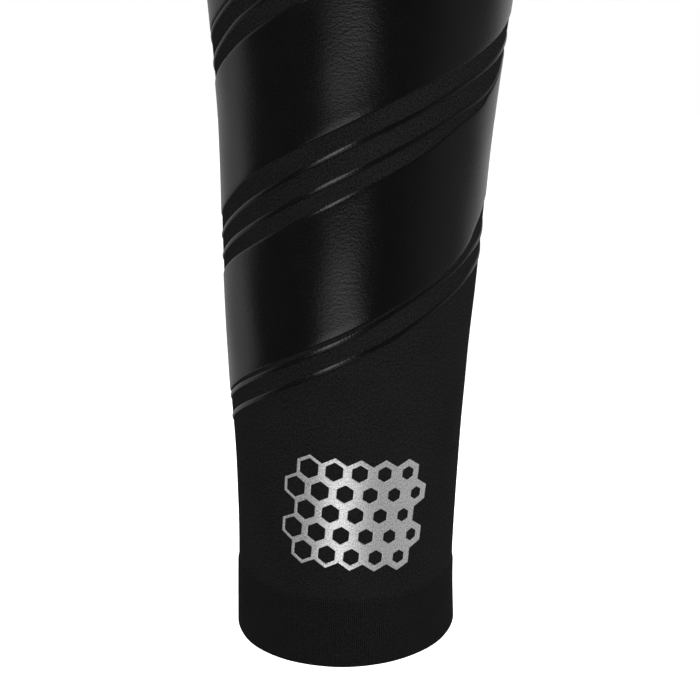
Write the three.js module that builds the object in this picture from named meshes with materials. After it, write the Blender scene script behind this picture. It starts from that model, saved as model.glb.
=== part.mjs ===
// A calf compression sleeve, shown as it is worn: a knitted tube with two hem bands,
// glossy film panels and narrow film lines that climb round it, and a reflective patch.
// Millimetres, +Z up. The origin is the middle of the ankle opening, on the axis of the leg.
// The shin side faces -Y, so the calf fills out towards +Y.
import * as THREE from "three";
import * as BufferGeometryUtils from "three/addons/utils/BufferGeometryUtils.js";

// Driving dimensions of the knitted tube
const sleeve_length = 320;
const ankle_width = 69.6;
const calf_width = 101.4;
const fabric_wall = 1.2;
const rim_tilt_degrees = 1.2;

// The hem bands are doubled fabric and stand a little proud of the tube
const hem_height = 23;
const hem_proud = 0.45;
const hem_round = 0.35;

// The bonded film
const film_thickness = 0.3;
const film_clearance = 0.3;
const line_width = 1.5;
const line_spacing = 7.2;
const film_to_hem = 1.2;
const seam_gap = 2.4;

// A panel that the knee hem cuts off ends where it is this narrow
const panel_edge_least = 3;

// The reflective patch, a honeycomb whose cells close up from one side to the other
const patch_width = 45;
const patch_over_hem = 7.7;
const patch_turn = 0.012;
const patch_slant_degrees = -5;
const patch_column_count = 6;
const patch_row_count = 5;
const hole_share_left = 0.8;
const hole_share_right = 0.42;

// The gap between a hem band and the tube
const piece_gap = 0.3;

// How finely the surfaces are divided
const around_count = 48;
const tube_rows = 16;
const panel_rows = 3;
const hem_rows = 2;
const outline_cut_steps = 24;

// The leg's outline. at: share of the sleeve's length. swell: 0 at the ankle's width, 1 at the
// calf's. side and back: how far the section's middle lies to the right and to the back, as
// shares of the calf's width. depth: how deep the section is for its width.
const outline_table = [
  { at: 0.0, swell: 0.01, side: -0.013, back: 0.0, depth: 1.16 },
  { at: 0.075, swell: -0.015, side: -0.0135, back: 0.0, depth: 1.16 },
  { at: 0.125, swell: 0.005, side: -0.011, back: 0.002, depth: 1.155 },
  { at: 0.1875, swell: 0.065, side: -0.009, back: 0.005, depth: 1.15 },
  { at: 0.266, swell: 0.165, side: -0.006, back: 0.014, depth: 1.125 },
  { at: 0.344, swell: 0.275, side: 0.0005, back: 0.025, depth: 1.105 },
  { at: 0.422, swell: 0.368, side: 0.009, back: 0.037, depth: 1.09 },
  { at: 0.5, swell: 0.452, side: 0.018, back: 0.049, depth: 1.085 },
  { at: 0.5625, swell: 0.58, side: 0.024, back: 0.059, depth: 1.08 },
  { at: 0.625, swell: 0.722, side: 0.0305, back: 0.067, depth: 1.075 },
  { at: 0.7, swell: 0.88, side: 0.034, back: 0.081, depth: 1.07 },
  { at: 0.79, swell: 1.0, side: 0.035, back: 0.088, depth: 1.065 },
  { at: 0.89, swell: 0.95, side: 0.031, back: 0.079, depth: 1.06 },
  { at: 1.0, swell: 0.79, side: 0.024, back: 0.063, depth: 1.06 },
];

// How the bands climb round the leg. turn: 0 at the shin, up to half a turn each way. low and
// high: the rise above the shin, for the lowest band and for the bands above it, as shares of
// the height between the hem bands.
const climb_table = [
  { turn: -0.5, low: -0.208, high: -0.208 },
  { turn: -0.3, low: -0.1248, high: -0.1373 },
  { turn: -0.2, low: -0.0832, high: -0.1 },
  { turn: -0.13, low: -0.0541, high: -0.0645 },
  { turn: -0.06, low: -0.025, high: -0.0289 },
  { turn: 0.0, low: 0.0, high: 0.0 },
  { turn: 0.07, low: 0.0347, high: 0.0316 },
  { turn: 0.125, low: 0.0574, high: 0.0578 },
  { turn: 0.175, low: 0.0775, high: 0.0779 },
  { turn: 0.22, low: 0.0915, high: 0.0969 },
  { turn: 0.5, low: 0.208, high: 0.208 },
];

// The bands, from the ankle up. at: how far up the shin the band's upper line crosses it, as a
// share of the height between the hem bands. climb: the column of the climb table that the band
// follows. edges: its columns of the spread and strip tables.
const band_table = [
  { name: "low", at: 0.2876, climb: "low", edges: "low" },
  { name: "middle", at: 0.4898, climb: "high", edges: "middle" },
  { name: "high", at: 0.7057, climb: "high", edges: "high" },
  { name: "top", at: 0.9058, climb: "high", edges: "middle" },
  { name: "last", at: 1.1197, climb: "high", edges: "high" },
];

// How far apart a band's two lines lie, as shares of the line spacing
const spread_table = [
  { turn: -0.5, low: 0.92, middle: 1.08, high: 0.95 },
  { turn: -0.2, low: 0.92, middle: 0.91, high: 1.1 },
  { turn: -0.13, low: 0.92, middle: 1.0, high: 0.95 },
  { turn: 0.0, low: 0.92, middle: 1.08, high: 0.95 },
  { turn: 0.06, low: 1.1, middle: 1.03, high: 0.95 },
  { turn: 0.125, low: 0.98, middle: 1.08, high: 0.95 },
  { turn: 0.18, low: 0.98, middle: 1.1, high: 0.95 },
  { turn: 0.22, low: 0.98, middle: 0.7, high: 0.95 },
  { turn: 0.5, low: 0.92, middle: 1.08, high: 0.95 },
];

// The strips of bare fabric beside a band. Shares of the line spacing: over is from the upper
// line up to the panel's edge, under is from the lower line down to the panel below.
const strip_table = [
  { turn: -0.5, low_over: 0.23, middle_over: 0.95, middle_under: 0.8, high_over: 0.6, high_under: 0.8 },
  { turn: -0.2, low_over: 0.23, middle_over: 0.9, middle_under: 0.73, high_over: 0.19, high_under: 0.71 },
  { turn: -0.13, low_over: 0.29, middle_over: 1.0, middle_under: 0.8, high_over: 0.19, high_under: 0.84 },
  { turn: 0.0, low_over: 0.28, middle_over: 0.9, middle_under: 0.8, high_over: 0.19, high_under: 0.78 },
  { turn: 0.06, low_over: 0.17, middle_over: 0.94, middle_under: 0.77, high_over: 0.2, high_under: 0.78 },
  { turn: 0.125, low_over: 0.24, middle_over: 0.84, middle_under: 0.51, high_over: 0.22, high_under: 0.75 },
  { turn: 0.165, low_over: 0.5, middle_over: 0.92, middle_under: 0.36, high_over: 0.3, high_under: 0.7 },
  { turn: 0.18, low_over: 0.87, middle_over: 0.95, middle_under: 0.17, high_over: 0.32, high_under: 0.7 },
  { turn: 0.22, low_over: 1.45, middle_over: 1.02, middle_under: 0.17, high_over: 0.45, high_under: 0.7 },
  { turn: 0.5, low_over: 0.6, middle_over: 0.95, middle_under: 0.8, high_over: 0.6, high_under: 0.8 },
];

const tau = 2 * Math.PI;
const degree = Math.PI / 180;

// A smooth curve through one column of a table, by cubic Hermite pieces with central slopes
function column_value(table, key, column, where) {
  const last = table.length - 1;
  const held = Math.min(Math.max(where, table[0][key]), table[last][key]);
  let i = 0;
  while (i < last - 1 && held > table[i + 1][key]) {
    i += 1;
  }
  const slope = (j) => {
    const a = table[Math.max(j - 1, 0)];
    const b = table[Math.min(j + 1, last)];
    return (b[column] - a[column]) / (b[key] - a[key]);
  };
  const from = table[i];
  const to = table[i + 1];
  const step = to[key] - from[key];
  const t = (held - from[key]) / step;
  const rise = (3 - 2 * t) * t * t;
  const lead = t * (1 - t) * (1 - t) * step;
  const tail = t * t * (t - 1) * step;
  return from[column] * (1 - rise) + to[column] * rise + slope(i) * lead + slope(i + 1) * tail;
}

// The section of the leg at a height: half its width and depth, and where its middle lies
function section_at(height) {
  const at = height / sleeve_length;
  const swell = column_value(outline_table, "at", "swell", at);
  const half_width = (ankle_width + swell * (calf_width - ankle_width)) / 2;
  return {
    half_width,
    half_depth: half_width * column_value(outline_table, "at", "depth", at),
    side: calf_width * column_value(outline_table, "at", "side", at),
    back: calf_width * column_value(outline_table, "at", "back", at),
  };
}

// A point of the sleeve: turn 0 is the shin, +0.25 the right side, and outward is measured
// square to the fabric in the level plane
function leg_point(turn, height, outward) {
  const section = section_at(height);
  const angle = turn * tau;
  const normal_x = Math.sin(angle) * section.half_depth;
  const normal_y = -Math.cos(angle) * section.half_width;
  const size = Math.hypot(normal_x, normal_y);
  return new THREE.Vector3(
    section.side + section.half_width * Math.sin(angle) + (outward * normal_x) / size,
    section.back - section.half_depth * Math.cos(angle) + (outward * normal_y) / size,
    height,
  );
}

// The outline passes between the fabric's outer face and the film's outer face
const fabric_face = -film_thickness;

function mesh_geometry(points, triangles) {
  const geometry = new THREE.BufferGeometry();
  const positions = points.flatMap((p) => [p.x, p.y, p.z]);
  geometry.setAttribute("position", new THREE.Float32BufferAttribute(positions, 3));
  geometry.setIndex(triangles);
  const merged = BufferGeometryUtils.mergeVertices(geometry, 1e-4);
  merged.computeVertexNormals();
  return merged;
}

// A closed ring: a closed profile of (height, outward) corners, listed anticlockwise as seen
// on the right-hand side of the leg, is carried once round it
function ring_geometry(profile_at) {
  const points = [];
  const triangles = [];
  const corners = profile_at(0).length;
  for (let i = 0; i < around_count; i += 1) {
    const turn = i / around_count;
    for (const corner of profile_at(turn)) {
      points.push(leg_point(turn, corner.height, corner.outward));
    }
  }
  for (let i = 0; i < around_count; i += 1) {
    const next = (i + 1) % around_count;
    for (let j = 0; j < corners; j += 1) {
      const up = (j + 1) % corners;
      const a = i * corners + j;
      const b = next * corners + j;
      const c = next * corners + up;
      const d = i * corners + up;
      triangles.push(a, b, c, a, c, d);
    }
  }
  return mesh_geometry(points, triangles);
}

// A closed piece of film on the grid of turns and rows, with its own lower and upper edge
function film_geometry(first_turn, last_turn, rows, lower_edge, upper_edge) {
  const turns = [first_turn];
  for (let i = -around_count / 2; i <= around_count / 2; i += 1) {
    const turn = i / around_count;
    const clear = 0.25 / around_count;
    if (turn > first_turn + clear && turn < last_turn - clear) {
      turns.push(turn);
    }
  }
  turns.push(last_turn);
  const inner = fabric_face + film_clearance;
  const points = [];
  for (const outward of [inner, inner + film_thickness]) {
    for (const turn of turns) {
      for (let j = 0; j <= rows; j += 1) {
        const height = THREE.MathUtils.lerp(lower_edge(turn), upper_edge(turn), j / rows);
        points.push(leg_point(turn, height, outward));
      }
    }
  }
  const layer = turns.length * (rows + 1);
  const at = (side, i, j) => side * layer + i * (rows + 1) + j;
  const triangles = [];
  const quad = (a, b, c, d) => triangles.push(a, b, c, a, c, d);
  const end = turns.length - 1;
  for (let i = 0; i < end; i += 1) {
    for (let j = 0; j < rows; j += 1) {
      quad(at(1, i, j), at(1, i + 1, j), at(1, i + 1, j + 1), at(1, i, j + 1));
      quad(at(0, i, j), at(0, i, j + 1), at(0, i + 1, j + 1), at(0, i + 1, j));
    }
    quad(at(0, i, 0), at(0, i + 1, 0), at(1, i + 1, 0), at(1, i, 0));
    quad(at(0, i, rows), at(1, i, rows), at(1, i + 1, rows), at(0, i + 1, rows));
  }
  for (let j = 0; j < rows; j += 1) {
    quad(at(0, 0, j), at(1, 0, j), at(1, 0, j + 1), at(0, 0, j + 1));
    quad(at(0, end, j), at(0, end, j + 1), at(1, end, j + 1), at(1, end, j));
  }
  return mesh_geometry(points, triangles);
}

// The ankle rim is tilted, so it is higher on the right
function rim_height(turn) {
  return Math.tan(rim_tilt_degrees * degree) * (ankle_width / 2) * Math.sin(turn * tau);
}

function tube_geometry() {
  const foot = hem_height + piece_gap;
  const top = sleeve_length - hem_height - piece_gap;
  const profile = [];
  for (let j = 0; j <= tube_rows; j += 1) {
    const height = THREE.MathUtils.lerp(foot, top, j / tube_rows);
    profile.push({ height, outward: fabric_face });
  }
  for (let j = tube_rows; j >= 0; j -= 1) {
    const height = THREE.MathUtils.lerp(foot, top, j / tube_rows);
    profile.push({ height, outward: fabric_face - fabric_wall });
  }
  return ring_geometry(() => profile);
}

// A hem band between two heights, with its outer corners rounded off by a flat
function hem_profile(foot, top) {
  const inside = fabric_face - fabric_wall;
  const outside = fabric_face + hem_proud;
  const profile = [
    { height: foot, outward: inside },
    { height: foot, outward: outside - hem_round },
  ];
  for (let j = 0; j <= hem_rows; j += 1) {
    const height = THREE.MathUtils.lerp(foot + hem_round, top - hem_round, j / hem_rows);
    profile.push({ height, outward: outside });
  }
  profile.push({ height: top, outward: outside - hem_round });
  profile.push({ height: top, outward: inside });
  return profile;
}

function ankle_hem_geometry() {
  return ring_geometry((turn) => hem_profile(rim_height(turn), hem_height));
}

function knee_hem_geometry() {
  return ring_geometry(() => hem_profile(sleeve_length - hem_height, sleeve_length));
}

// The height of a band's upper line at a turn
function band_height(band, turn) {
  const between_hems = sleeve_length - 2 * hem_height;
  const rise = column_value(climb_table, "turn", band.climb, turn);
  return hem_height + (band.at + rise) * between_hems;
}

const film_top = sleeve_length - hem_height - film_to_hem;
const seam_turn = 0.5 - seam_gap / 2 / (calf_width * Math.PI);

// The turn at which a rising edge comes up to a height, found by halving
function turn_where(edge, height) {
  let low = -seam_turn;
  let high = seam_turn;
  if (edge(high) <= height) {
    return high;
  }
  for (let i = 0; i < outline_cut_steps; i += 1) {
    const middle = (low + high) / 2;
    if (edge(middle) < height) {
      low = middle;
    } else {
      high = middle;
    }
  }
  return low;
}

// How far apart a band's two lines lie at a turn
function band_spread(band, turn) {
  return line_spacing * column_value(spread_table, "turn", band.edges, turn);
}

// One narrow line of a band. side is 0 for the upper line and 1 for the lower one.
function line_geometry(band, side) {
  const centre = (turn) => band_height(band, turn) - side * band_spread(band, turn);
  const lower_edge = (turn) => centre(turn) - line_width / 2;
  const upper_edge = (turn) => lower_edge(turn) + line_width;
  const last_turn = turn_where(upper_edge, film_top);
  return film_geometry(-seam_turn, last_turn, 1, lower_edge, upper_edge);
}

// The wide panel from the bare strip over a band up to the strip under the next band
function panel_geometry(band, next) {
  const strip = (column, turn) => line_spacing * column_value(strip_table, "turn", column, turn);
  const lower_edge = (turn) => band_height(band, turn) + strip(`${band.edges}_over`, turn);
  const upper_edge = (turn) => {
    if (next === undefined) {
      return film_top;
    }
    const below = band_spread(next, turn) + strip(`${next.edges}_under`, turn);
    return Math.min(film_top, band_height(next, turn) - below);
  };
  const last_turn = turn_where(lower_edge, film_top - panel_edge_least);
  return film_geometry(-seam_turn, last_turn, panel_rows, lower_edge, upper_edge);
}

// From one row of cells to the next, as a share of a cell's radius
const row_step_share = 1.5;

// The middles of the patch's cells, in staggered rows that are one cell shorter every other time
function patch_cells(cell) {
  const cells = [];
  for (let row = 0; row < patch_row_count; row += 1) {
    const count = patch_column_count - (row % 2 === 0 ? 1 : 0);
    for (let i = 0; i < count; i += 1) {
      const u = (i - (count - 1) / 2) * Math.sqrt(3) * cell;
      const v = (row - (patch_row_count - 1) / 2) * row_step_share * cell;
      cells.push({ u, v });
    }
  }
  return cells;
}

// The honeycomb of the patch: each cell is a six-sided ring that shares its outer edges with
// its neighbours, and its hole closes up from the left side to the right
function patch_geometry() {
  const cell = patch_width / patch_column_count / Math.sqrt(3);
  const cells = patch_cells(cell);
  const slant = patch_slant_degrees * degree;
  const half_height = cell * (1 + ((patch_row_count - 1) / 2) * row_step_share);
  const middle_height = hem_height + patch_over_hem + half_height;
  const section = section_at(middle_height);
  const base = fabric_face + film_clearance;
  const face = base + film_thickness;
  const placed = (u, v, outward) => {
    const across = u * Math.cos(slant) - v * Math.sin(slant);
    const up = u * Math.sin(slant) + v * Math.cos(slant);
    const turn = patch_turn + across / (section.half_width * tau);
    return leg_point(turn, middle_height + up, outward);
  };
  const points = [];
  const triangles = [];
  const quad = (...corners) => {
    const first = points.length;
    points.push(...corners);
    triangles.push(first, first + 1, first + 2, first, first + 2, first + 3);
  };
  const has_neighbour = (from, angle) => {
    const u = from.u + Math.sqrt(3) * cell * Math.cos(angle);
    const v = from.v + Math.sqrt(3) * cell * Math.sin(angle);
    return cells.some((other) => Math.hypot(other.u - u, other.v - v) < cell / 2);
  };
  for (const from of cells) {
    const share = 0.5 + from.u / patch_width;
    const hole = cell * THREE.MathUtils.lerp(hole_share_left, hole_share_right, share);
    const corner = (k, radius, outward) => {
      const angle = (k * 60 - 30) * degree;
      return placed(from.u + radius * Math.cos(angle), from.v + radius * Math.sin(angle), outward);
    };
    for (let k = 0; k < 6; k += 1) {
      const side = (radius, outward) => [corner(k, radius, outward), corner(k + 1, radius, outward)];
      const [hole_face, hole_face_next] = side(hole, face);
      const [hole_base, hole_base_next] = side(hole, base);
      const [rim_face, rim_face_next] = side(cell, face);
      const [rim_base, rim_base_next] = side(cell, base);
      quad(hole_face, rim_face, rim_face_next, hole_face_next);
      quad(hole_base, hole_base_next, rim_base_next, rim_base);
      quad(hole_base, hole_face, hole_face_next, hole_base_next);
      if (!has_neighbour(from, k * 60 * degree)) {
        quad(rim_base, rim_base_next, rim_face_next, rim_face);
      }
    }
  }
  return mesh_geometry(points, triangles);
}

const finishes = {
  knit: () => new THREE.MeshStandardMaterial({ color: 0x1a1a1c, roughness: 0.88, metalness: 0 }),
  hem_knit: () => new THREE.MeshStandardMaterial({ color: 0x1c1c1e, roughness: 0.9, metalness: 0 }),
  film: () => new THREE.MeshStandardMaterial({ color: 0x101012, roughness: 0.3, metalness: 0 }),
  reflective: () => new THREE.MeshStandardMaterial({ color: 0xc4c6c9, roughness: 0.35, metalness: 0.6 }),
};

const sleeve = new THREE.Group();

function add_piece(name, geometry, finish) {
  const mesh = new THREE.Mesh(geometry, finishes[finish]());
  mesh.name = name;
  sleeve.add(mesh);
}

add_piece("sleeve_body", tube_geometry(), "knit");
add_piece("ankle_hem", ankle_hem_geometry(), "hem_knit");
add_piece("knee_hem", knee_hem_geometry(), "hem_knit");
band_table.forEach((band, i) => {
  add_piece(`film_panel_${band.name}`, panel_geometry(band, band_table[i + 1]), "film");
  add_piece(`film_line_${band.name}_upper`, line_geometry(band, 0), "film");
  add_piece(`film_line_${band.name}_lower`, line_geometry(band, 1), "film");
});
add_piece("reflective_patch", patch_geometry(), "reflective");

export default sleeve;
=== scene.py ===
# A calf compression sleeve as it is worn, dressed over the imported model: fine-gauge knit,
# two doubled hem bands, bonded film panels and lines, and a reflective honeycomb patch.
import math

import bpy
import numpy as np
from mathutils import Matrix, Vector


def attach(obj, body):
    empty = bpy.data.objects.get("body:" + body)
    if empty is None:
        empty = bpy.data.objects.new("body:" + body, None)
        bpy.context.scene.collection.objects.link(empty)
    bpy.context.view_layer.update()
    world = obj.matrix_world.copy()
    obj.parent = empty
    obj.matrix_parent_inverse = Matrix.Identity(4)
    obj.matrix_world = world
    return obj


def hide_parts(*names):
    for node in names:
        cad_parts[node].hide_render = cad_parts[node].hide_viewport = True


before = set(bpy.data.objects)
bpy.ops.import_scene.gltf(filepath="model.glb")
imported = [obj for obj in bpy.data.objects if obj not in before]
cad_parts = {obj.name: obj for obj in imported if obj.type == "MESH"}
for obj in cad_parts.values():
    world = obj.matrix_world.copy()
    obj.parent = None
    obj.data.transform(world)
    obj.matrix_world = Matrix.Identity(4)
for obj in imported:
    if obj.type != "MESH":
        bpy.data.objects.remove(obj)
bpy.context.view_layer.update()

# Lengths are in millimetres in the numpy work, and become metres when a mesh is made
MM = 0.001
TAU = 2 * math.pi

# The knitted tube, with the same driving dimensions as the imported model
SLEEVE_LENGTH = 320.0
ANKLE_WIDTH = 69.6
CALF_WIDTH = 101.4
HEM_HEIGHT = 23.0
RIM_TILT = math.radians(1.2)
BETWEEN_HEMS = SLEEVE_LENGTH - 2 * HEM_HEIGHT

# How far each layer lies outwards of the sleeve's outline, and the shape of a hem band: the
# radius of its fold, and the length of its soft step down into the tube
KNIT_FACE = -0.12
KNIT_INSIDE = -1.32
HEM_FACE = 0.2
HEM_INSIDE = -1.4
HEM_ROOT = -0.3
HEM_FOLD = 0.7
HEM_STEP = 2.6
FILM_FACE = 0.2
FILM_ROOT = -0.14
FILM_PRESSED = 0.05
PATCH_FACE = 0.02

# The widths over which film rises to its full height: at its lower edge, and at its upper one
PANEL_EDGES = (0.55, 1.0)
LINE_EDGES = (0.4, 1.05)

# How fine the grids are: columns round a ring, columns of film in a full turn and the fewest in
# a piece, the height of a panel's rows, the rows of the tube outside and inside, and of a hem
RING_COLUMNS = 240
FILM_COLUMNS = 340
FILM_LEAST_COLUMNS = 24
PANEL_ROW = 2.5
TUBE_ROWS_OUTSIDE = 150
TUBE_ROWS_INSIDE = 60
HEM_ROWS = 22

# The tube's wall reaches this far into each hem band, and its end's corners are cut off so far
TUBE_REACH = 6.0
CORNER = 0.3

# The pattern of the film. It stops under the knee hem and short of the back seam, and a panel
# ends where less than PANEL_EDGE_LEAST of its height is left
LINE_WIDTH = 1.5
LINE_SPACING = 7.2
FILM_TOP = SLEEVE_LENGTH - HEM_HEIGHT - 1.2
SEAM_TURN = 0.5 - 2.4 / 2 / (CALF_WIDTH * math.pi)
PANEL_EDGE_LEAST = 3.0

# The leg's outline: share of the length, swell from ankle width to calf width, how far the
# section's middle lies to the right and to the back for the calf's width, depth for width
OUTLINE = np.array([
    (0.0, 0.01, -0.013, 0.0, 1.16),
    (0.075, -0.015, -0.0135, 0.0, 1.16),
    (0.125, 0.005, -0.011, 0.002, 1.155),
    (0.1875, 0.065, -0.009, 0.005, 1.15),
    (0.266, 0.165, -0.006, 0.014, 1.125),
    (0.344, 0.275, 0.0005, 0.025, 1.105),
    (0.422, 0.368, 0.009, 0.037, 1.09),
    (0.5, 0.452, 0.018, 0.049, 1.085),
    (0.5625, 0.58, 0.024, 0.059, 1.08),
    (0.625, 0.722, 0.0305, 0.067, 1.075),
    (0.7, 0.88, 0.034, 0.081, 1.07),
    (0.79, 1.0, 0.035, 0.088, 1.065),
    (0.89, 0.95, 0.031, 0.079, 1.06),
    (1.0, 0.79, 0.024, 0.063, 1.06),
])

# How the bands climb: turn round the leg from the shin, rise of the lowest band, rise of the
# others, as shares of the height between the hems
CLIMB = np.array([
    (-0.5, -0.208, -0.208),
    (-0.3, -0.1248, -0.1373),
    (-0.2, -0.0832, -0.1),
    (-0.13, -0.0541, -0.0645),
    (-0.06, -0.025, -0.0289),
    (0.0, 0.0, 0.0),
    (0.07, 0.0347, 0.0316),
    (0.125, 0.0574, 0.0578),
    (0.175, 0.0775, 0.0779),
    (0.22, 0.0915, 0.0969),
    (0.5, 0.208, 0.208),
])
CLIMB_COLUMN = {"low": 1, "high": 2}

# Each band: its name, where its upper line crosses the shin as a share of the height between
# the hems, its column of the climbs, and its name in the tables of spreads and strips
BANDS = [
    ("low", 0.2876, "low", "low"),
    ("middle", 0.4898, "high", "middle"),
    ("high", 0.7057, "high", "high"),
    ("top", 0.9058, "high", "middle"),
    ("last", 1.1197, "high", "high"),
]

# How far apart a band's two lines lie, as shares of the line spacing: turn, and the low, middle
# and high bands
SPREADS = np.array([
    (-0.5, 0.92, 1.08, 0.95),
    (-0.2, 0.92, 0.91, 1.1),
    (-0.13, 0.92, 1.0, 0.95),
    (0.0, 0.92, 1.08, 0.95),
    (0.06, 1.1, 1.03, 0.95),
    (0.125, 0.98, 1.08, 0.95),
    (0.18, 0.98, 1.1, 0.95),
    (0.22, 0.98, 0.7, 0.95),
    (0.5, 0.92, 1.08, 0.95),
])
SPREAD_COLUMN = {"low": 1, "middle": 2, "high": 3}

# The bare strips over and under the bands, as shares of the line spacing: turn, over the low
# band, over and under the middle one, over and under the high one
STRIPS = np.array([
    (-0.5, 0.23, 0.95, 0.8, 0.6, 0.8),
    (-0.2, 0.23, 0.9, 0.73, 0.19, 0.71),
    (-0.13, 0.29, 1.0, 0.8, 0.19, 0.84),
    (0.0, 0.28, 0.9, 0.8, 0.19, 0.78),
    (0.06, 0.17, 0.94, 0.77, 0.2, 0.78),
    (0.125, 0.24, 0.84, 0.51, 0.22, 0.75),
    (0.165, 0.5, 0.92, 0.36, 0.3, 0.7),
    (0.18, 0.87, 0.95, 0.17, 0.32, 0.7),
    (0.22, 1.45, 1.02, 0.17, 0.45, 0.7),
    (0.5, 0.6, 0.95, 0.8, 0.6, 0.8),
])
STRIP_COLUMN = {
    "low_over": 1, "middle_over": 2, "middle_under": 3, "high_over": 4, "high_under": 5,
}

# The reflective patch: its width, its height over the hem, its place and slant on the shin, its
# cells in a long row and its rows, its holes as shares of a cell, and its rounded edge's width
PATCH_WIDTH = 45.0
PATCH_OVER_HEM = 7.7
PATCH_TURN = 0.012
PATCH_SLANT = math.radians(-5)
PATCH_COLUMNS = 6
PATCH_ROWS = 5
HOLE_LEFT = 0.8
HOLE_RIGHT = 0.42
PATCH_EDGE = 0.16

# The thread on the back seam: how far it swings to each side, the height of a stitch, its
# radius, how far it lies over the knit, and its rough length from point to point of its path
THREAD_SWING = 0.8
THREAD_STITCH = 1.3
THREAD_RADIUS = 0.13
THREAD_LIFT = 0.12
THREAD_STEP = 0.3
STITCH_POINTS = 8
THREAD_SIDES = 6

# The sizes of the finishes' patterns: a wale's width, a loop's height on bare knit and under
# film, and so on. A real wale of this knit is about 0.5 mm wide and a loop 0.4 mm high, hardly
# more than a pixel, so both are drawn coarser, and so are the yarn's fuzz and the film's grain.
# The knit is mapped as if the leg were PATTERN_GIRTH round all the way up
PATTERN_GIRTH = 300.0
WALE = 0.8
LOOP = 0.7
LOOP_UNDER_FILM = 0.9
WALE_WANDER = 12.0
FUZZ = 0.6
DYE_CLOUD = 20.0
CRIMP_ACROSS = 1.8
CRIMP_UP = 0.9
FILM_GRAIN = 0.6
FILM_CLOUD = 8.0
BEAD_SPARKLE = 0.5
BEAD_CLOUD = 4.0
THREAD_PLY = 0.35

# The photograph's view: the angle at which the camera looks down, its distance in metres from
# a point on the leg's axis, and that point's height. The focal length and the frame are in
# pixels, and the sensor in millimetres
VIEW_PITCH = math.radians(13.0)
VIEW_DISTANCE = 0.472
VIEW_HEIGHT = 0.089
FOCAL_PIXELS = 1500
FRAME_PIXELS = 700
SENSOR_WIDTH = 36.0

# The floor, in metres: its height under the sleeve, its half width and its glow
FLOOR_HEIGHT = -0.5
FLOOR_REACH = 9
FLOOR_GLOW = 0.97

# The walls' brightness by the angle from the camera's side in degrees, negative to the left
WALLS = [
    (-180, 0.38), (-140, 0.36), (-128, 0.4), (-118, 0.52), (-110, 0.45), (-102, 0.21),
    (-93, 0.06), (-60, 0.05), (-35, 0.03), (30, 0.015), (50, 0.045), (68, 0.15),
    (85, 0.21), (105, 0.2), (116, 0.23), (130, 0.4), (144, 0.55), (180, 0.5),
]

# The strip's brightness from 0, straight down, over 0.5, level, to 1, straight up
STRIP_LEVELS = [
    (0.07, 0.0), (0.15, 0.5), (0.32, 0.4), (0.365, 0.38), (0.402, 0.32), (0.425, 0.0),
    (0.55, 0.01), (0.59, 0.2), (0.63, 0.75), (0.9, 0.85), (0.97, 0.0),
]

# The brightest part of the tall strip of light in front, against white paper as 1
STRIP_BRIGHTNESS = 5.0


def table_curve(table, column, where):
    """A smooth curve through one column of a table: between two rows a cubic that meets both
    values, and whose slope at a row is that of the straight line between its neighbours."""
    keys, values = table[:, 0], table[:, column]
    rows = np.arange(len(keys))
    before, after = np.maximum(rows - 1, 0), np.minimum(rows + 1, len(keys) - 1)
    slopes = (values[after] - values[before]) / (keys[after] - keys[before])
    held = np.clip(where, keys[0], keys[-1])
    i = np.clip(np.searchsorted(keys, held) - 1, 0, len(keys) - 2)
    step = keys[i + 1] - keys[i]
    t = (held - keys[i]) / step
    rise = (3 - 2 * t) * t * t
    ends = values[i] * (1 - rise) + values[i + 1] * rise
    return ends + step * t * (1 - t) * (slopes[i] * (1 - t) - slopes[i + 1] * t)


def soft_waves(turn, height):
    """How a stretched knit lies unevenly over a leg: the sum of four slow sine waves of the
    turn and the height, each at most 0.06 mm high, and 27 to 107 mm long up the leg."""
    return (
        0.06 * np.sin(TAU * 3 * turn + height / 17.0)
        + 0.05 * np.sin(TAU * 7 * turn - height / 11.0 + 1.3)
        + 0.035 * np.sin(TAU * 13 * turn + height / 6.5 + 2.1)
        + 0.03 * np.sin(TAU * 5 * turn - height / 4.3 + 0.4)
    )


def half_width_at(share):
    """Half the sleeve's width at a share of its length, from the outline table."""
    return (ANKLE_WIDTH + table_curve(OUTLINE, 1, share) * (CALF_WIDTH - ANKLE_WIDTH)) / 2


def leg_surface(turn, height, outward):
    """A point of the sleeve. Each level section is an ellipse whose half width, half depth and
    middle follow the outline table. Turn 0 is the shin and 0.25 the right side. The point is
    then moved by outward, and by the soft waves, square to the ellipse in the level plane."""
    turn, height, outward = np.broadcast_arrays(turn, height, outward)
    at = height / SLEEVE_LENGTH
    half_width = half_width_at(at)
    half_depth = half_width * table_curve(OUTLINE, 4, at)
    sine, cosine = np.sin(turn * TAU), np.cos(turn * TAU)
    across, along = sine * half_depth, -cosine * half_width
    moved = (outward + soft_waves(turn, height)) / np.hypot(across, along)
    x = CALF_WIDTH * table_curve(OUTLINE, 2, at) + half_width * sine + moved * across
    y = CALF_WIDTH * table_curve(OUTLINE, 3, at) - half_depth * cosine + moved * along
    return np.stack([x, y, height], axis=-1)


def knit_place(turn, height):
    """Where a point lies in the knit, in metres: the turn times an even girth across the wales,
    and the height along them, so that the number of wales is the same all the way up."""
    turn, height = np.broadcast_arrays(turn, height)
    return np.stack([turn * PATTERN_GIRTH, height], axis=-1) * MM


def make_piece(name, points, faces, places, finish):
    """A mesh of four-sided faces. places holds each face corner's place in the pattern."""
    mesh = bpy.data.meshes.new(name)
    mesh.from_pydata(points * MM, [], faces)
    layer = mesh.uv_layers.new(name="pattern")
    layer.data.foreach_set("uv", places.reshape(-1).astype(np.float32))
    mesh.polygons.foreach_set("use_smooth", np.ones(len(faces), bool))
    mesh.materials.append(finish)
    mesh.validate()
    mesh.update()
    piece = bpy.data.objects.new(name, mesh)
    bpy.context.scene.collection.objects.link(piece)
    return piece


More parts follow.
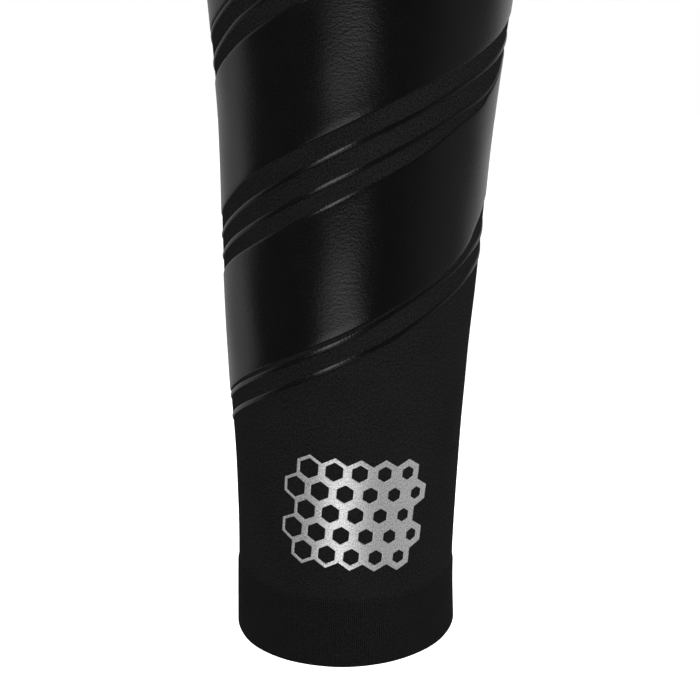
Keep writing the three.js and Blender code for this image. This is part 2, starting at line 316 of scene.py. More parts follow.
def grid_faces(rows, columns, around=False, across=False):
    """The faces between the neighbours of a grid, as index arrays: one into the grid's points,
    and one into the same grid with a row or column more where it closes on itself."""
    i, j = np.meshgrid(
        np.arange(rows if around else rows - 1),
        np.arange(columns if across else columns - 1),
        indexing="ij",
    )
    wide = columns + (1 if across else 0)
    corners = [(i, j), (i + 1, j), (i + 1, j + 1), (i, j + 1)]
    faces = np.stack([(a % rows) * columns + b % columns for a, b in corners], axis=-1)
    unrolled = np.stack([a * wide + b for a, b in corners], axis=-1)
    return faces.reshape(-1, 4), unrolled.reshape(-1, 4)


def ring_piece(name, turns, heights, outwards, finish):
    """A closed ring: a closed profile of heights and outward distances, listed up its outer
    side and down its inner side, is carried once round the leg. Both may change with the turn."""
    turn = turns[:, None]
    points = leg_surface(turn, heights, outwards)
    faces, unrolled = grid_faces(*points.shape[:2], around=True, across=True)
    full = np.append(turns, turns[0] + 1.0)[:, None]
    tall = np.concatenate([heights, heights[:1]])
    places = knit_place(full, np.concatenate([tall, tall[:, :1]], axis=1)).reshape(-1, 2)
    return make_piece(name, points.reshape(-1, 3), faces, places[unrolled], finish)


def welded(points, faces):
    """The same faces with points that coincide made one."""
    _, first, same = np.unique(
        np.round(points, 5), axis=0, return_index=True, return_inverse=True
    )
    return points[first], same.reshape(-1)[faces]


def film_piece(name, first_turn, last_turn, lower, upper, edges, finish):
    """A closed piece of film between two edges that are heights as functions of the turn. Its
    face rises from the knit along a quarter of a sine wave, within edges[0] of its lower edge
    and of its ends, and within edges[1] of its upper edge, where the stretched knit draws it
    thin. A piece too narrow for both rises less. Its back is the same grid pressed into the
    knit."""
    soft = np.array([0.0, 0.04, 0.12, 0.24, 0.4, 0.6, 0.8, 1.0])
    girth = math.pi * (ANKLE_WIDTH + CALF_WIDTH) / 2
    end = edges[0] / girth
    count = max(int((last_turn - first_turn) * FILM_COLUMNS), FILM_LEAST_COLUMNS)
    inner = np.linspace(first_turn + end, last_turn - end, count)
    turns = np.concatenate(
        [first_turn + end * soft[:-1], inner, (last_turn - end * soft[:-1])[::-1]]
    )
    least_height, room = 0.2, 1.02
    low, high = lower(turns), np.maximum(upper(turns), lower(turns) + least_height)
    fit = np.minimum(1, (high - low) / (room * sum(edges)))[:, None]
    middle_count = max(int(((high - low).max() - sum(edges)) / PANEL_ROW), 1)
    share = np.linspace(0, 1, middle_count + 1)
    foot = low[:, None] + edges[0] * fit * soft
    head = high[:, None] - edges[1] * fit * soft
    middle = foot[:, -1:] + (head[:, -1:] - foot[:, -1:]) * share[1:-1]
    heights = np.concatenate([foot, middle, head[:, ::-1]], axis=1)
    over_foot = (heights - low[:, None]) / (edges[0] * fit)
    under_head = (high[:, None] - heights) / (edges[1] * fit)
    from_end = np.minimum(turns - first_turn, last_turn - turns)[:, None] / end
    near = np.clip(np.minimum(np.minimum(over_foot, under_head), from_end), 0, 1)
    rise = fit * np.sin(near * math.pi / 2)
    face = leg_surface(turns[:, None], heights, FILM_ROOT + (FILM_FACE - FILM_ROOT) * rise)
    back = leg_surface(turns[:, None], heights, FILM_ROOT - FILM_PRESSED * np.minimum(near * 4, 1))
    faces, _ = grid_faces(*heights.shape)
    place = knit_place(turns[:, None], heights).reshape(-1, 2)
    size = heights.size
    points = np.concatenate([face.reshape(-1, 3), back.reshape(-1, 3)])
    both = np.concatenate([faces, (faces + size)[:, ::-1]])
    places = np.concatenate([place, place])[both]
    points, both = welded(points, both)
    return make_piece(name, points, both, places, finish)


def band_height(band, turn):
    """The height of a band's upper line: its place on the shin and its rise at that turn."""
    _, at, climb, _ = band
    return HEM_HEIGHT + (at + table_curve(CLIMB, CLIMB_COLUMN[climb], turn)) * BETWEEN_HEMS


def band_spread(band, turn):
    """How far apart a band's two lines lie at that turn."""
    return LINE_SPACING * table_curve(SPREADS, SPREAD_COLUMN[band[3]], turn)


def turn_where(edge, height):
    """The turn at which a rising edge comes up to a height, found on a fine row of turns."""
    turns = np.linspace(-SEAM_TURN, SEAM_TURN, 4001)
    under = edge(turns) <= height
    return float(turns[-1] if under.all() else turns[max(int(np.argmin(under)) - 1, 1)])


def line_piece(band, side, finish):
    """One narrow line: LINE_WIDTH high, centred on the band's upper or lower line."""
    def lower(turn):
        return band_height(band, turn) - side * band_spread(band, turn) - LINE_WIDTH / 2

    def upper(turn):
        return lower(turn) + LINE_WIDTH

    name = f"bonded_line_{band[0]}_{'lower' if side else 'upper'}"
    last = turn_where(upper, FILM_TOP)
    return film_piece(name, -SEAM_TURN, last, lower, upper, LINE_EDGES, finish)


def panel_piece(band, above, finish):
    """A wide panel, from the bare strip over a band up to the strip under the band above it,
    cut off level below the knee hem."""
    def strip(column, turn):
        return LINE_SPACING * table_curve(STRIPS, STRIP_COLUMN[column], turn)

    def lower(turn):
        return band_height(band, turn) + strip(f"{band[3]}_over", turn)

    def upper(turn):
        if above is None:
            return np.full(np.shape(turn), FILM_TOP)
        under = band_spread(above, turn) + strip(f"{above[3]}_under", turn)
        return np.minimum(FILM_TOP, band_height(above, turn) - under)

    name = f"bonded_panel_{band[0]}"
    last = turn_where(lower, FILM_TOP - PANEL_EDGE_LEAST)
    return film_piece(name, -SEAM_TURN, last, lower, upper, PANEL_EDGES, finish)


def knit_tube(finish):
    """The tube's wall: a closed profile with its corners cut off, whose ends reach into the
    hem bands."""
    turns = np.arange(RING_COLUMNS) / RING_COLUMNS - 0.5
    foot, top = HEM_HEIGHT - TUBE_REACH, SLEEVE_LENGTH - HEM_HEIGHT + TUBE_REACH
    outer = np.linspace(foot, top, TUBE_ROWS_OUTSIDE)
    inner = np.linspace(top - CORNER, foot + CORNER, TUBE_ROWS_INSIDE)
    heights = np.concatenate([outer, inner])[None].repeat(len(turns), axis=0)
    outside = np.full(TUBE_ROWS_OUTSIDE, KNIT_FACE)
    inside = np.full(TUBE_ROWS_INSIDE, KNIT_INSIDE)
    outside[[0, -1]] -= CORNER
    inside[[0, -1]] += CORNER
    outwards = np.concatenate([outside, inside])[None]
    return ring_piece("knit_tube", turns, heights, outwards, finish)


def round_corner(at, out, radius, first, count):
    """A quarter circle of a profile, from the angle first in degrees, anticlockwise. 0 points
    outwards and 90 points up."""
    angle = np.radians(first + np.linspace(0, 90, count))
    return at + radius * np.sin(angle), out + radius * np.cos(angle)


def hem_section(rows):
    """A hem band's section, from its fold to its other end: a flat face, a fold that is a
    quarter circle of HEM_FOLD, and at the other end a soft step down into the tube, half a
    cosine wave HEM_STEP long, where the doubled knit is one with the single knit. Heights are
    given as shares of the band's height and as millimetres to add."""
    fold_rows = 6
    wave = np.linspace(0, 1, 13)
    step = HEM_ROOT + (HEM_FACE - HEM_ROOT) * (1 + np.cos(wave * math.pi)) / 2
    rise = np.linspace(0, 1, rows)
    fold = round_corner(HEM_FOLD, HEM_FACE - HEM_FOLD, HEM_FOLD, -90, fold_rows)
    parts = [
        (np.zeros(fold_rows), *fold),
        (rise[1:], HEM_FOLD - (HEM_FOLD + HEM_STEP) * rise[1:], np.full(rows - 1, HEM_FACE)),
        (np.ones(len(wave) - 1), HEM_STEP * (wave[1:] - 1), step[1:]),
        (np.ones(1), np.zeros(1), np.full(1, HEM_INSIDE + CORNER)),
        (rise[::-1], CORNER - 2 * CORNER * rise[::-1], np.full(rows, HEM_INSIDE)),
        (np.zeros(1), np.zeros(1), np.full(1, HEM_INSIDE + CORNER)),
    ]
    shares, added, outwards = (np.concatenate(column) for column in zip(*parts))
    return shares, added, outwards


def hem_piece(name, fold, step, finish):
    """A hem band: its section carried round the leg, from the height of its fold to the height
    of its step, both functions of the turn. Where the fold is above, the section is turned
    over, and its order with it, so that the faces still point outwards."""
    turns = np.arange(RING_COLUMNS) / RING_COLUMNS - 0.5
    shares, added, outwards = hem_section(HEM_ROWS)
    from_fold, to_step = fold(turns)[:, None], step(turns)[:, None]
    way = 1 if to_step[0, 0] > from_fold[0, 0] else -1
    heights = from_fold + (to_step - from_fold) * shares + way * added
    return ring_piece(name, turns, heights[:, ::way], outwards[None, ::way], finish)


def ankle_foot(turn):
    """The ankle rim, a sine wave of the turn because the rim is tilted to the left."""
    return math.tan(RIM_TILT) * (ANKLE_WIDTH / 2) * np.sin(turn * TAU)


def level(height):
    """The same height at every turn."""
    return lambda turn: np.full(np.shape(turn), height)


def honeycomb_patch(finish):
    """A sheet of six-sided cells in staggered rows. Each cell is a ring between the cell's
    outer six-sided outline and a six-sided hole, which closes up from left to right. The face
    rises along a quarter ellipse within PATCH_EDGE of every hole and of the patch's outline."""
    cell = PATCH_WIDTH / PATCH_COLUMNS / math.sqrt(3)
    counts = [PATCH_COLUMNS - (1 if row % 2 == 0 else 0) for row in range(PATCH_ROWS)]
    middles = np.concatenate([
        np.stack([
            (np.arange(count) - (count - 1) / 2) * math.sqrt(3) * cell,
            np.full(count, (row - (PATCH_ROWS - 1) / 2) * 1.5 * cell),
        ], axis=-1)
        for row, count in enumerate(counts)
    ])
    angles = np.radians(np.arange(7) * 60 - 30)
    corners = np.stack([np.cos(angles), np.sin(angles)], axis=-1)
    side_points = 7
    along = np.linspace(0, 1, side_points)[:, None]
    sides = corners[:-1, None] * (1 - along) + corners[1:, None] * along
    hole = cell * (HOLE_LEFT + (HOLE_RIGHT - HOLE_LEFT) * (0.5 + middles[:, 0] / PATCH_WIDTH))
    outwards = np.array([0.0, 0.04, 0.1, 0.2, 0.35, 0.5, 0.65, 0.8, 0.9, 0.96, 1.0])
    radius = hole[:, None] + (cell - hole[:, None]) * outwards
    flat = middles[:, None, None, None] + radius[:, None, :, None, None] * sides[None, :, None]

    # A side is part of the patch's outline where no neighbour shares it
    toward = np.radians(np.arange(6) * 60)
    step = math.sqrt(3) * cell * np.stack([np.cos(toward), np.sin(toward)], axis=-1)
    wanted = middles[:, None] + step[None]
    gap = np.linalg.norm(wanted[:, :, None] - middles[None, None], axis=-1).min(axis=-1)
    free = gap > cell / 2
    ends = middles[:, None, None] + cell * np.stack([corners[:-1], corners[1:]], axis=1)[None]
    free_from, free_to = ends[free][:, 0], ends[free][:, 1]
    span = free_to - free_from
    reach = flat.reshape(-1, 1, 2) - free_from[None]
    share = np.clip((reach * span).sum(-1) / (span * span).sum(-1), 0, 1)
    from_outline = np.linalg.norm(reach - share[..., None] * span, axis=-1).min(axis=1)
    from_hole = ((radius - hole[:, None]) * math.cos(math.pi / 6))[:, None, :, None]
    from_hole = np.broadcast_to(from_hole, flat.shape[:-1]).reshape(-1)
    near = np.clip(np.minimum(from_outline, from_hole) / PATCH_EDGE, 0, 1)
    rise = np.sqrt(np.clip(1 - (1 - near) ** 2, 0, 1))

    u, v = flat[..., 0].reshape(-1), flat[..., 1].reshape(-1)
    middle_height = HEM_HEIGHT + PATCH_OVER_HEM + cell * (1 + (PATCH_ROWS - 1) / 2 * 1.5)
    half_width = half_width_at(middle_height / SLEEVE_LENGTH)
    turn = PATCH_TURN + (u * math.cos(PATCH_SLANT) - v * math.sin(PATCH_SLANT)) / half_width / TAU
    height = middle_height + u * math.sin(PATCH_SLANT) + v * math.cos(PATCH_SLANT)
    face = leg_surface(turn, height, FILM_ROOT + (PATCH_FACE - FILM_ROOT) * rise)
    back = leg_surface(turn, height, FILM_ROOT - FILM_PRESSED * np.minimum(near * 4, 1))
    faces, _ = grid_faces(len(outwards), side_points)
    blocks = np.arange(len(middles) * 6)[:, None, None] * (len(outwards) * side_points)
    faces = (faces[None] + blocks).reshape(-1, 4)
    both = np.concatenate([faces, (faces + len(turn))[:, ::-1]])
    place = knit_place(turn, height)
    places = np.concatenate([place, place])[both]
    points, both = welded(np.concatenate([face, back]), both)
    return make_piece("honeycomb_patch", points, both, places, finish)


def seam_thread(finish):
    """Sewing thread on the back seam: a round section of six sides carried along a path that
    climbs the seam, swings from side to side as a rounded triangle wave, and dips at each turn
    of the swing where the needle took it through the knit."""
    from_hem, rounding, thin_end = 0.4, 0.96, 0.02
    foot, top = HEM_HEIGHT + from_hem, SLEEVE_LENGTH - HEM_HEIGHT - from_hem
    count = int((top - foot) / THREAD_STITCH) * STITCH_POINTS
    height = np.linspace(foot, top, count)
    phase = (height - foot) / THREAD_STITCH * TAU
    aside = THREAD_SWING * np.arcsin(rounding * np.sin(phase)) / math.asin(rounding)
    dip = THREAD_LIFT * (1 - 1.6 * np.abs(np.sin(phase)) ** 6)
    turn = 0.5 + aside / (math.pi * CALF_WIDTH)
    path = leg_surface(turn, height, KNIT_FACE + dip)
    tangent = np.gradient(path, axis=0)
    tangent /= np.linalg.norm(tangent, axis=1, keepdims=True)
    outward = np.array([0.0, 1.0, 0.0])
    beside = np.cross(tangent, outward)
    beside /= np.linalg.norm(beside, axis=1, keepdims=True)
    over = np.cross(beside, tangent)
    angle = (np.arange(THREAD_SIDES) / THREAD_SIDES * TAU)[None, :, None]
    ring = THREAD_RADIUS * (np.cos(angle) * beside[:, None] + np.sin(angle) * over[:, None])
    ring *= np.concatenate([[thin_end], np.ones(count - 2), [thin_end]])[:, None, None]
    points = path[:, None] + ring
    faces, unrolled = grid_faces(count, THREAD_SIDES, across=True)
    along = np.arange(count)[:, None] * THREAD_STEP
    turns_round = np.arange(THREAD_SIDES + 1)[None] / THREAD_SIDES * TAU * THREAD_RADIUS
    places = np.stack(np.broadcast_arrays(turns_round, along), axis=-1).reshape(-1, 2) * MM
    return make_piece("seam_thread", points.reshape(-1, 3), faces, places[unrolled], finish)


def linear(colour):
    """An sRGB hex colour as the linear numbers that a shader socket takes."""
    parts = np.array([int(colour[i:i + 2], 16) for i in (1, 3, 5)]) / 255
    low, high = parts / 12.92, ((parts + 0.055) / 1.055) ** 2.4
    return (*np.where(parts <= 0.04045, low, high), 1.0)


def add(tree, kind, inputs=None, **settings):
    """Adds a node. settings are its own properties, and inputs sets or links its sockets."""
    node = tree.nodes.new(kind)
    for key, value in settings.items():
        setattr(node, key, value)
    for key, value in (inputs or {}).items():
        if isinstance(value, bpy.types.NodeSocket):
            tree.links.new(value, node.inputs[key])
        else:
            node.inputs[key].default_value = value
    return node


def new_finish(name):
    """An empty node material."""
    finish = bpy.data.materials.new(name)
    finish.use_nodes = True
    finish.node_tree.nodes.clear()
    return finish, finish.node_tree


def knit_relief(tree, loop_height):
    """The relief of a plain knit, about 0 to 1, from the piece's own pattern map: upright wales,
    each made of loops whose two legs slant down to the wale's middle, a little unevenly."""
    place = add(tree, "ShaderNodeUVMap", uv_map="pattern").outputs[0]
    split = add(tree, "ShaderNodeSeparateXYZ", {0: place}).outputs
    wander = add(tree, "ShaderNodeTexNoise", {
        "Vector": place, "Scale": 1 / (WALE_WANDER * MM), "Detail": 2.0,
    }).outputs["Fac"]
    drift = add(tree, "ShaderNodeMath", {0: wander, 1: 0.6}, operation="MULTIPLY").outputs[0]
    columns = add(tree, "ShaderNodeMath", {0: split[0], 1: WALE * MM}, operation="DIVIDE").outputs[0]
    moved = add(tree, "ShaderNodeMath", {0: columns, 1: drift}, operation="ADD").outputs[0]
    part = add(tree, "ShaderNodeMath", {0: moved}, operation="FRACT").outputs[0]
    twice = add(tree, "ShaderNodeMath", {0: part, 1: 2.0, 2: -1.0}, operation="MULTIPLY_ADD").outputs[0]
    leg = add(tree, "ShaderNodeMath", {0: twice}, operation="ABSOLUTE").outputs[0]
    rows = add(tree, "ShaderNodeMath", {
        0: split[1], 1: loop_height * MM,
    }, operation="DIVIDE").outputs[0]
    slanted = add(tree, "ShaderNodeMath", {
        0: leg, 1: 0.7, 2: rows,
    }, operation="MULTIPLY_ADD").outputs[0]
    angle = add(tree, "ShaderNodeMath", {0: slanted, 1: TAU}, operation="MULTIPLY").outputs[0]
    loop = add(tree, "ShaderNodeMath", {0: angle}, operation="SINE").outputs[0]
    loops = add(tree, "ShaderNodeMath", {
        0: loop, 1: 0.22, 2: 0.3,
    }, operation="MULTIPLY_ADD").outputs[0]
    square = add(tree, "ShaderNodeMath", {0: leg, 1: 2.0}, operation="POWER").outputs[0]
    crown = add(tree, "ShaderNodeMath", {
        0: square, 1: -0.5, 2: 0.5,
    }, operation="MULTIPLY_ADD").outputs[0]
    return place, add(tree, "ShaderNodeMath", {0: loops, 1: crown}, operation="ADD").outputs[0]


def knit_finish(name, dark, light, depth, painted_relief_shade, rough, gloss):
    """Black dyed nylon and elastane, knitted fine: matt, with a faint gleam of fine yarn, and with
    painted light and shade of the relief in its colour: lighter wale crowns, darker gaps between
    the loops. depth is the relief's, and the argument after it says how strongly that shows."""
    finish, tree = new_finish(name)
    place, relief = knit_relief(tree, LOOP)
    fuzz = add(tree, "ShaderNodeTexNoise", {
        "Vector": place, "Scale": 1 / (FUZZ * MM), "Detail": 2.0, "Roughness": 0.6,
    }).outputs["Fac"]
    cloud = add(tree, "ShaderNodeTexNoise", {
        "Vector": place, "Scale": 1 / (DYE_CLOUD * MM), "Detail": 3.0,
    }).outputs["Fac"]
    raised = add(tree, "ShaderNodeMath", {
        0: fuzz, 1: 1.2, 2: relief,
    }, operation="MULTIPLY_ADD").outputs[0]
    specks = add(tree, "ShaderNodeMath", {
        0: fuzz, 1: 2.2, 2: -0.5 - painted_relief_shade / 2,
    }, operation="MULTIPLY_ADD").outputs[0]
    # Painted light and shade: the knit's relief is added to the colour, lighter on the wale crowns and
    # darker in the gaps between the loops, over the fuzz specks that are the yarn's own tone
    yarn = add(tree, "ShaderNodeMath", {
        0: relief, 1: painted_relief_shade, 2: specks,
    }, operation="MULTIPLY_ADD").outputs[0]
    shade = add(tree, "ShaderNodeMath", {
        0: cloud, 1: 0.3, 2: yarn,
    }, operation="MULTIPLY_ADD").outputs[0]
    ramp = add(tree, "ShaderNodeMapRange", {
        "Value": shade, "From Min": 0.1, "From Max": 1.6,
    }).outputs[0]
    colour = add(tree, "ShaderNodeMix", {
        0: ramp, 6: linear(dark), 7: linear(light),
    }, data_type="RGBA").outputs[2]
    bump = add(tree, "ShaderNodeBump", {
        "Height": raised, "Distance": depth * MM, "Strength": 1.0,
    }).outputs[0]
    surface = add(tree, "ShaderNodeBsdfPrincipled", {
        "Base Color": colour, "Roughness": rough, "IOR": 1.5, "Specular IOR Level": gloss,
        "Normal": bump,
    }).outputs[0]
    add(tree, "ShaderNodeOutputMaterial", {"Surface": surface})
    return finish


def film_finish():
    """Black polyurethane film pressed on with heat: a satin gloss that mirrors the room softly,
    crimped level by the knit that springs back under it, with the knit's grain showing through."""
    finish, tree = new_finish("bonded_polyurethane_film")
    place, relief = knit_relief(tree, LOOP_UNDER_FILM)
    drawn = add(tree, "ShaderNodeMapping", {
        "Vector": place, "Scale": (1 / (CRIMP_ACROSS * MM), 1 / (CRIMP_UP * MM), 1.0),
    }, vector_type="POINT").outputs[0]
    crimp = add(tree, "ShaderNodeTexNoise", {
        "Vector": drawn, "Scale": 1.0, "Detail": 2.0, "Roughness": 0.55,
    }).outputs["Fac"]
    grain = add(tree, "ShaderNodeTexNoise", {
        "Vector": place, "Scale": 1 / (FILM_GRAIN * MM), "Detail": 1.0,
    }).outputs["Fac"]
    patches = add(tree, "ShaderNodeTexNoise", {
        "Vector": place, "Scale": 1 / (FILM_CLOUD * MM), "Detail": 3.0,
    }).outputs["Fac"]
    ridges = add(tree, "ShaderNodeMath", {0: relief, 1: 0.1}, operation="MULTIPLY").outputs[0]
    weave = add(tree, "ShaderNodeMath", {
        0: grain, 1: 1.3, 2: ridges,
    }, operation="MULTIPLY_ADD").outputs[0]
    raised = add(tree, "ShaderNodeMath", {
        0: crimp, 1: 1.6, 2: weave,
    }, operation="MULTIPLY_ADD").outputs[0]
    bump = add(tree, "ShaderNodeBump", {
        "Height": raised, "Distance": 0.028 * MM, "Strength": 1.0,
    }).outputs[0]
    mixed = add(tree, "ShaderNodeMath", {
        0: patches, 1: 0.15, 2: grain,
    }, operation="MULTIPLY_ADD").outputs[0]
    rough = add(tree, "ShaderNodeMapRange", {
        "Value": mixed, "From Min": 0.35, "From Max": 0.8, "To Min": 0.13, "To Max": 0.3,
    }).outputs[0]
    colour = add(tree, "ShaderNodeMix", {
        0: patches, 6: linear("#101010"), 7: linear("#161616"),
    }, data_type="RGBA").outputs[2]
    surface = add(tree, "ShaderNodeBsdfPrincipled", {
        "Base Color": colour, "Roughness": rough, "IOR": 1.4, "Normal": bump,
    }).outputs[0]
    add(tree, "ShaderNodeOutputMaterial", {"Surface": surface})
    return finish


def reflective_finish():
    """Silver transfer film with glass beads a twentieth of a millimetre wide over a bright
    backing, drawn coarser here so that it shows: a grey metal gleam with a fine sparkle, from the
    beads' bump and from specks of painted highlight in its colour."""
    finish, tree = new_finish("reflective_bead_transfer")
    place = add(tree, "ShaderNodeUVMap", uv_map="pattern").outputs[0]
    beads = add(tree, "ShaderNodeTexNoise", {
        "Vector": place, "Scale": 1 / (BEAD_SPARKLE * MM), "Detail": 2.0, "Roughness": 0.7,
    }).outputs["Fac"]
    # Painted sparkle: the bead noise turns some specks white and leaves others grey, as if the beads
    # caught the light
    gleam = add(tree, "ShaderNodeMapRange", {
        "Value": beads, "From Min": 0.35, "From Max": 0.6,
    }).outputs[0]
    cloud = add(tree, "ShaderNodeTexNoise", {
        "Vector": place, "Scale": 1 / (BEAD_CLOUD * MM), "Detail": 3.0,
    }).outputs["Fac"]
    colour = add(tree, "ShaderNodeMix", {
        0: gleam, 6: linear("#c0c0c0"), 7: linear("#ffffff"),
    }, data_type="RGBA").outputs[2]
    rough = add(tree, "ShaderNodeMapRange", {
        "Value": cloud, "To Min": 0.24, "To Max": 0.32,
    }).outputs[0]
    bump = add(tree, "ShaderNodeBump", {
        "Height": beads, "Distance": 0.08 * MM, "Strength": 1.0,
    }).outputs[0]
    surface = add(tree, "ShaderNodeBsdfPrincipled", {
        "Base Color": colour, "Metallic": 0.42, "Roughness": rough, "Normal": bump,
    }).outputs[0]
    add(tree, "ShaderNodeOutputMaterial", {"Surface": surface})
    return finish


def thread_finish():
    """Black textured polyester sewing thread: matt, twisted, a shade lighter than the knit, with
    painted shade in the grooves between its plies.
    """
    finish, tree = new_finish("textured_polyester_thread")
    place = add(tree, "ShaderNodeUVMap", uv_map="pattern").outputs[0]
    split = add(tree, "ShaderNodeSeparateXYZ", {0: place}).outputs
    lean = add(tree, "ShaderNodeMath", {
        0: split[0], 1: 1.2, 2: split[1],
    }, operation="MULTIPLY_ADD").outputs[0]
    angle = add(tree, "ShaderNodeMath", {
        0: lean, 1: TAU / (THREAD_PLY * MM),
    }, operation="MULTIPLY").outputs[0]
    ply = add(tree, "ShaderNodeMath", {0: angle}, operation="SINE").outputs[0]
    # Painted shade: the colour follows the twist, lighter on each ply and darker in the grooves between
    # them
    shade = add(tree, "ShaderNodeMapRange", {"Value": ply, "From Min": -1.0}).outputs[0]
    colour = add(tree, "ShaderNodeMix", {
        0: shade, 6: linear("#161617"), 7: linear("#2b2b2d"),
    }, data_type="RGBA").outputs[2]
    bump = add(tree, "ShaderNodeBump", {
        "Height": ply, "Distance": 0.02 * MM, "Strength": 1.0,
    }).outputs[0]
    surface = add(tree, "ShaderNodeBsdfPrincipled", {
        "Base Color": colour, "Roughness": 0.7, "Sheen Weight": 0.2, "Normal": bump,
    }).outputs[0]
    add(tree, "ShaderNodeOutputMaterial", {"Surface": surface})
    return finish


def keep(piece, slot, *nodes):
    """A piece rides on the sleeve's one body and takes the place of the nodes it stands for."""
    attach(piece, "root")
    if nodes:
        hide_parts(*nodes)
    return piece


def dress_sleeve():
    """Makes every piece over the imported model."""
    # Both knits paint their relief into the colour as light and shade; the hem's wales are painted far
    # more strongly
    knit = knit_finish(
        "fine_gauge_nylon_knit", "#060606", "#383838", depth=0.08, painted_relief_shade=0.2, rough=0.9, gloss=0.02,
    )
    hem = knit_finish(
        "doubled_nylon_knit", "#040404", "#303030", depth=0.3, painted_relief_shade=2.0, rough=0.85, gloss=0.02,
    )
    film = film_finish()
    tube = keep(knit_tube(knit), "knit", "sleeve_body")
    on_tube = [
        keep(
            hem_piece("ankle_hem_knit", ankle_foot, level(HEM_HEIGHT), hem),
            "hem_knit", "ankle_hem",
        ),
        keep(
            hem_piece("knee_hem_knit", level(SLEEVE_LENGTH), level(SLEEVE_LENGTH - HEM_HEIGHT), hem),
            "hem_knit", "knee_hem",
        ),
    ]
    for i, band in enumerate(BANDS):
        above = BANDS[i + 1] if i + 1 < len(BANDS) else None
        on_tube.append(keep(panel_piece(band, above, film), "film", f"film_panel_{band[0]}"))
        for side, end in enumerate(("upper", "lower")):
            line = line_piece(band, side, film)
            on_tube.append(keep(line, "film", f"film_line_{band[0]}_{end}"))
    patch = honeycomb_patch(reflective_finish())
    on_tube.append(keep(patch, "reflective", "reflective_patch"))
    on_tube.append(keep(seam_thread(thread_finish()), "knit"))


def add_floor():
    """A pale studio floor far under the sleeve, which a leg would hold up: white paper that
    glows evenly. It throws no light or shadow on the sleeve, and the film doesn't mirror it."""
    count = 37
    steps = np.linspace(-FLOOR_REACH, FLOOR_REACH, count)
    x, y = np.meshgrid(steps, steps, indexing="ij")
    points = np.stack([x, y, np.full(x.shape, FLOOR_HEIGHT)], axis=-1).reshape(-1, 3)
    faces, unrolled = grid_faces(count, count)
    finish, tree = new_finish("pale_paper_sweep")
    place = add(tree, "ShaderNodeTexCoord").outputs["Object"]
    mottle = add(tree, "ShaderNodeTexNoise", {"Vector": place, "Scale": 2.0}).outputs["Fac"]
    colour = add(tree, "ShaderNodeMix", {
        0: mottle, 6: linear("#f2f2f2"), 7: linear("#f6f6f6"),
    }, data_type="RGBA").outputs[2]
    surface = add(tree, "ShaderNodeBsdfPrincipled", {
        "Base Color": colour, "Roughness": 0.9,
        "Emission Color": linear("#ffffff"), "Emission Strength": FLOOR_GLOW,
    }).outputs[0]
    add(tree, "ShaderNodeOutputMaterial", {"Surface": surface})
    floor = make_piece("studio_floor", points / MM, faces, points[unrolled][..., :2], finish)
    floor.visible_glossy = False
    floor.visible_diffuse = False
    floor.visible_shadow = False


def grey_ramp(tree, share, stops):
    """A colour ramp of greys: each stop is a position and a brightness."""
    node = add(tree, "ShaderNodeValToRGB", {0: share})
    elements = node.color_ramp.elements
    elements[0].position, elements[1].position = stops[0][0], stops[1][0]
    for number, (position, grey) in enumerate(stops):
        element = elements[number] if number < 2 else elements.new(position)
        element.color = (grey, grey, grey, 1.0)
    return node.outputs[0]


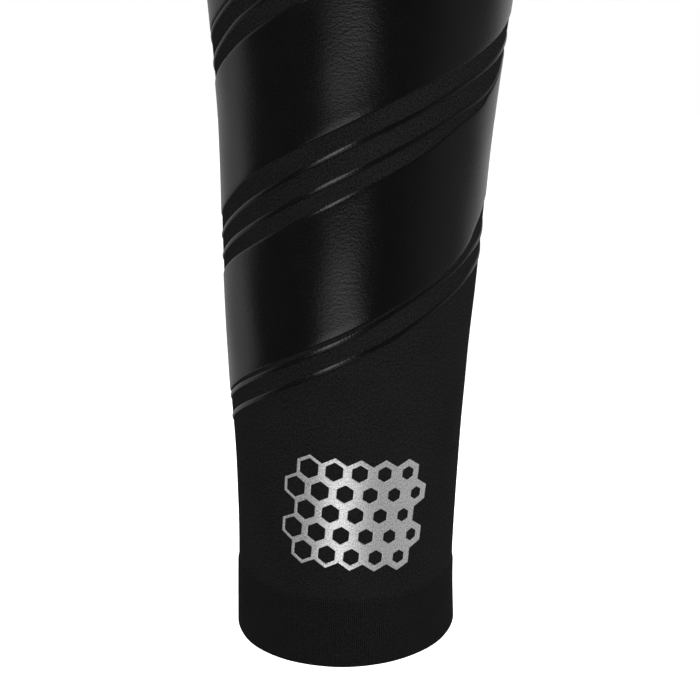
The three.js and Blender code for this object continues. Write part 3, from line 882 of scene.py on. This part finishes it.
def add_room_light():
    """The room as the sleeve mirrors it: white walls behind it, dark ones in front, and a tall
    soft strip of light a little to the left of the camera. The walls' brightness follows the
    direction's angle from the camera's side, negative to the left, and falls off upwards. The
    strip is a flat-topped bell curve of that angle, and it is brighter and further left over
    the level of the eye. The camera itself sees white paper behind the sleeve."""
    world = bpy.data.worlds.new("studio_room")
    bpy.context.scene.world = world
    world.use_nodes = True
    tree = world.node_tree
    tree.nodes.clear()
    way = add(tree, "ShaderNodeTexCoord").outputs["Generated"]
    split = add(tree, "ShaderNodeSeparateXYZ", {0: way}).outputs
    front = add(tree, "ShaderNodeMath", {0: split[1], 1: -1.0}, operation="MULTIPLY").outputs[0]
    angle = add(tree, "ShaderNodeMath", {0: split[0], 1: front}, operation="ARCTAN2").outputs[0]
    share = add(tree, "ShaderNodeMath", {
        0: angle, 1: 1 / TAU, 2: 0.5,
    }, operation="MULTIPLY_ADD").outputs[0]
    ring = grey_ramp(tree, share, [(degrees / 360 + 0.5, grey) for degrees, grey in WALLS])
    low_wall = add(tree, "ShaderNodeMapRange", {
        "Value": split[2], "From Min": 0.2, "From Max": 0.5, "To Min": 1.0, "To Max": 0.25,
    }).outputs[0]
    walls = add(tree, "ShaderNodeMath", {0: ring, 1: low_wall}, operation="MULTIPLY").outputs[0]
    centre = add(tree, "ShaderNodeMapRange", {
        "Value": split[2], "From Min": -0.25, "From Max": 0.7,
        "To Min": math.radians(-7.0), "To Max": math.radians(-53.5),
    }).outputs[0]
    width = add(tree, "ShaderNodeMapRange", {
        "Value": split[2], "From Min": -0.1, "From Max": 0.2,
        "To Min": math.radians(15.5), "To Max": math.radians(10.8),
    }).outputs[0]
    aside = add(tree, "ShaderNodeMath", {0: angle, 1: centre}, operation="SUBTRACT").outputs[0]
    far = add(tree, "ShaderNodeMath", {0: aside, 1: width}, operation="DIVIDE").outputs[0]
    square = add(tree, "ShaderNodeMath", {0: far, 1: far}, operation="MULTIPLY").outputs[0]
    fourth = add(tree, "ShaderNodeMath", {0: square, 1: square}, operation="MULTIPLY").outputs[0]
    half = add(tree, "ShaderNodeMath", {0: fourth, 1: -0.5}, operation="MULTIPLY").outputs[0]
    bell = add(tree, "ShaderNodeMath", {0: half}, operation="EXPONENT").outputs[0]
    level_share = add(tree, "ShaderNodeMath", {
        0: split[2], 1: 0.5, 2: 0.5,
    }, operation="MULTIPLY_ADD").outputs[0]
    lamp = grey_ramp(tree, level_share, STRIP_LEVELS)
    lit = add(tree, "ShaderNodeMath", {0: lamp, 1: STRIP_BRIGHTNESS}, operation="MULTIPLY").outputs[0]
    light = add(tree, "ShaderNodeMath", {
        0: lit, 1: bell, 2: walls,
    }, operation="MULTIPLY_ADD").outputs[0]
    seen = add(tree, "ShaderNodeLightPath").outputs["Is Camera Ray"]
    room = add(tree, "ShaderNodeBackground", {0: linear("#ffffff"), 1: light}).outputs[0]
    paper = add(tree, "ShaderNodeBackground", {0: linear("#ffffff"), 1: 1.0}).outputs[0]
    both = add(tree, "ShaderNodeMixShader", {0: seen, 1: room, 2: paper}).outputs[0]
    add(tree, "ShaderNodeOutputWorld", {"Surface": both})


def add_softbox(name, place, toward, size, brightness):
    """A soft area light at a place, turned toward a point. Its power is its brightness times
    its area and pi."""
    lamp = bpy.data.lights.new(name, "AREA")
    lamp.shape = "RECTANGLE"
    lamp.size, lamp.size_y = size
    lamp.energy = brightness * size[0] * size[1] * math.pi
    light = bpy.data.objects.new(name, lamp)
    bpy.context.scene.collection.objects.link(light)
    aim = Vector([end - start for start, end in zip(place, toward)])
    light.location = place
    light.rotation_euler = aim.to_track_quat("-Z", "Y").to_euler()
    light.visible_camera = False
    light.visible_glossy = False


def add_camera():
    """The photograph's view: the camera looks down at the shin side, a little under half a
    metre off."""
    camera = bpy.data.objects.new("camera", bpy.data.cameras.new("camera"))
    bpy.context.scene.collection.objects.link(camera)
    back, up = VIEW_DISTANCE * math.cos(VIEW_PITCH), VIEW_DISTANCE * math.sin(VIEW_PITCH)
    camera.location = (0.0, -back, VIEW_HEIGHT + up)
    camera.rotation_euler = (math.pi / 2 - VIEW_PITCH, 0.0, 0.0)
    camera.data.lens = SENSOR_WIDTH * FOCAL_PIXELS / FRAME_PIXELS
    camera.data.sensor_width = SENSOR_WIDTH
    camera.data.clip_start = 0.01
    camera.data.clip_end = 60.0
    bpy.context.scene.camera = camera


dress_sleeve()
add_floor()
add_room_light()
add_softbox("right_fill", (1.6, -0.8, 1.3), (0.0, 0.0, 0.15), (1.8, 1.4), 3.5)
add_softbox("overhead", (0.2, 0.3, 1.9), (0.0, 0.0, 0.2), (1.2, 1.2), 1.0)
add_softbox("back_fill", (0.0, 1.9, 0.9), (0.0, 0.0, 0.17), (1.8, 1.4), 2.4)
add_camera()
bpy.context.scene.view_settings.view_transform = "Standard"
